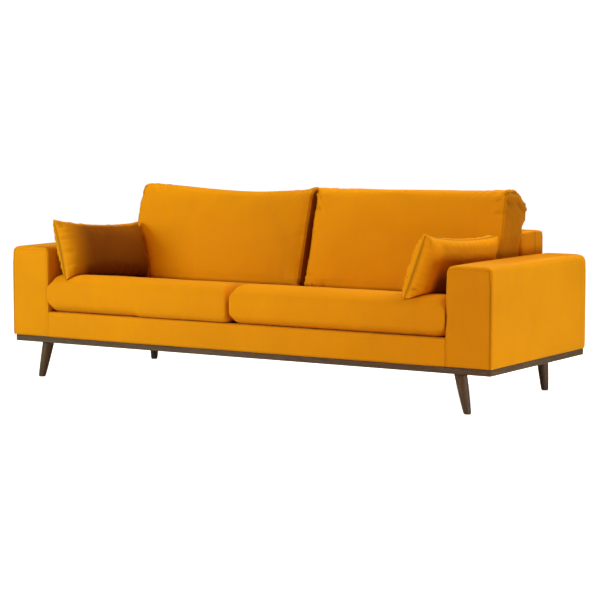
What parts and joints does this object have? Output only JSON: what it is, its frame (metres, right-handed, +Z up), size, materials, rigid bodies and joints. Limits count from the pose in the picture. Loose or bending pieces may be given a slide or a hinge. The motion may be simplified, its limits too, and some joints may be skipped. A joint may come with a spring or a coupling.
{
  "type": "sofa",
  "caption": "Long low sofa with box arms, loose seat and back cushions, lumbar pillows, and a dark wood plinth on splayed tapered wooden legs.",
  "frame": {"origin": "on the floor, under the centre of the sofa's overall width and depth", "axes": "+X along the sofa's length to the right of someone facing its front, +Y towards the back, +Z up"},
  "size_m": [2.3, 0.85, 0.82],
  "materials": {
    "mustard_velvet": "matte",
    "walnut_wood": "satin",
    "frame_timber": "matte",
    "foam": "matte",
    "lining_cloth": "matte",
    "felt": "matte",
    "webbing": "matte",
    "steel": "satin"
  },
  "bodies": {
    "sofa_frame": {"arm_bolt_nuts": "steel", "arm_bolts": "steel", "arm_bottom_rails_left": "frame_timber", "arm_bottom_rails_right": "frame_timber", "arm_cover_left": "mustard_velvet", "arm_cover_right": "mustard_velvet", "arm_end_boards_left": "frame_timber", "arm_end_boards_right": "frame_timber", "arm_padding_left": "foam", "arm_padding_right": "foam", "arm_side_boards_left": "frame_timber", "arm_side_boards_right": "frame_timber", "arm_top_board_left": "frame_timber", "arm_top_board_right": "frame_timber", "back_bolt_nuts": "steel", "back_bolts": "steel", "back_bottom_rail": "frame_timber", "back_cover_front": "mustard_velvet", "back_cover_rear": "mustard_velvet", "back_foam": "foam", "back_foot_blocks": "frame_timber", "back_mounting_rail": "frame_timber", "back_posts": "frame_timber", "back_top_rail": "frame_timber", "back_webbing": "webbing", "base_cross_rails": "frame_timber", "base_front_cover": "mustard_velvet", "base_front_rail": "frame_timber", "base_left_rail": "frame_timber", "base_rear_rail": "frame_timber", "base_right_rail": "frame_timber", "corner_block_screws": "steel", "felt_pads": "felt", "leg_front_left": "walnut_wood", "leg_front_right": "walnut_wood", "leg_hanger_bolts": "steel", "leg_mounting_plates": "steel", "leg_plate_screws": "steel", "leg_rear_left": "walnut_wood", "leg_rear_right": "walnut_wood", "plinth_corner_blocks": "frame_timber", "plinth_front": "walnut_wood", "plinth_left": "walnut_wood", "plinth_rear": "walnut_wood", "plinth_right": "walnut_wood", "seat_deck_cloth": "lining_cloth", "seat_springs": "steel", "spring_clips": "steel", "spring_insulator_pad": "felt", "underside_dust_cover": "lining_cloth"},
    "seat_cushion_left": {"seat_cushion_left": "mustard_velvet"},
    "back_cushion_left": {"back_cushion_left": "mustard_velvet"},
    "pillow_left": {"pillow_left": "mustard_velvet"},
    "seat_cushion_right": {"seat_cushion_right": "mustard_velvet"},
    "back_cushion_right": {"back_cushion_right": "mustard_velvet"},
    "pillow_right": {"pillow_right": "mustard_velvet"}
  },
  "joints": [
    {"name": "seat_cushion_left_pull_out", "type": "slide", "parent": "sofa_frame", "child": "seat_cushion_left", "axis": [0, -1, 0], "range_m": [0, 0.7]},
    {"name": "seat_cushion_right_pull_out", "type": "slide", "parent": "sofa_frame", "child": "seat_cushion_right", "axis": [0, -1, 0], "range_m": [0, 0.7]},
    {"name": "back_cushion_left_lift", "type": "slide", "parent": "sofa_frame", "child": "back_cushion_left", "axis": [0, 0, 1], "range_m": [0, 0.5]},
    {"name": "back_cushion_right_lift", "type": "slide", "parent": "sofa_frame", "child": "back_cushion_right", "axis": [0, 0, 1], "range_m": [0, 0.5]},
    {"name": "pillow_left_lift", "type": "slide", "parent": "sofa_frame", "child": "pillow_left", "axis": [0, 0, 1], "range_m": [0, 0.5]},
    {"name": "pillow_right_lift", "type": "slide", "parent": "sofa_frame", "child": "pillow_right", "axis": [0, 0, 1], "range_m": [0, 0.5]}
  ]
}
